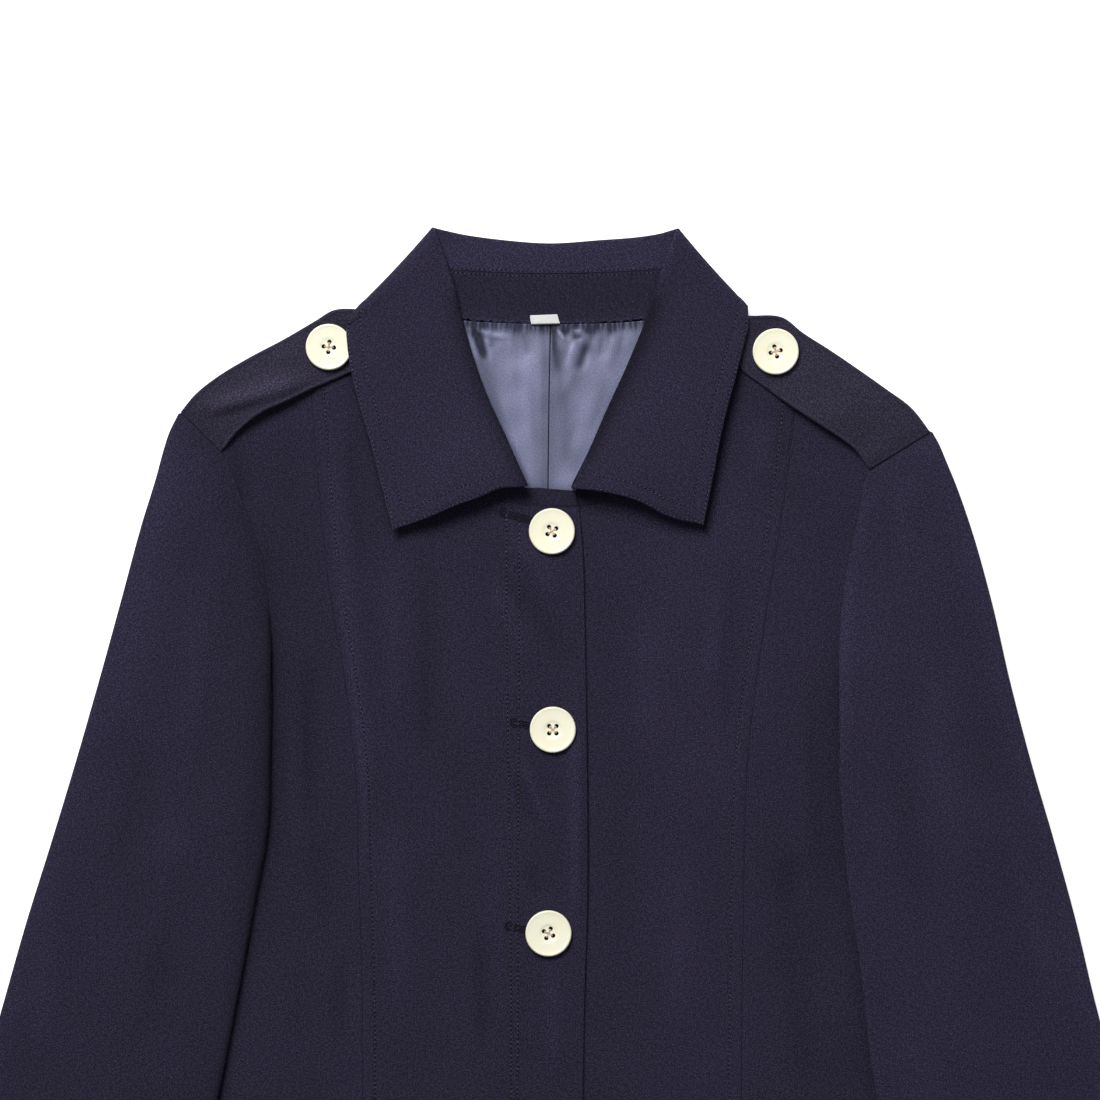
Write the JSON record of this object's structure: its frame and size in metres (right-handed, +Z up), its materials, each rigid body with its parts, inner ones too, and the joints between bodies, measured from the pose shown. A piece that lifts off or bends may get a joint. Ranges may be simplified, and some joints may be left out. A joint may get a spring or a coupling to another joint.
{
  "type": "field jacket",
  "caption": "Long-sleeved jacket laid flat and buttoned, with a spread shirt collar, shoulder straps, princess seams and a satin lining in the neck.",
  "frame": {"origin": "centre of the laid garment's bounding box, on the surface that it lies on", "axes": "+Z up from the surface, out of the jacket's front; +Y from the hem to the collar; +X from the wearer's right sleeve to the wearer's left sleeve"},
  "size_m": [0.7342, 0.6827, 0.0125],
  "materials": {
    "navy_twill": "matt fine twill, dark navy",
    "blue_satin": "smooth satin lining, dusty blue",
    "cream_resin": "glossy cream resin",
    "white_tape": "white woven tape, blank"
  },
  "bodies": {
    "root": {"back_left": "navy_twill", "back_right": "navy_twill", "front_left_center": "navy_twill", "front_left_side": "navy_twill", "front_right_center": "navy_twill", "front_right_side": "navy_twill", "under_sleeve_left": "navy_twill", "under_sleeve_right": "navy_twill", "top_sleeve_left": "navy_twill", "top_sleeve_right": "navy_twill", "collar_fall": "navy_twill", "collar_stand": "navy_twill", "strap_left": "navy_twill", "strap_right": "navy_twill", "lining_left": "blue_satin", "lining_right": "blue_satin", "label": "white_tape", "button_1": "cream_resin", "button_2": "cream_resin", "button_3": "cream_resin", "button_4": "cream_resin", "button_5": "cream_resin", "strap_button_left": "cream_resin", "strap_button_right": "cream_resin"}
  },
  "joints": []
}
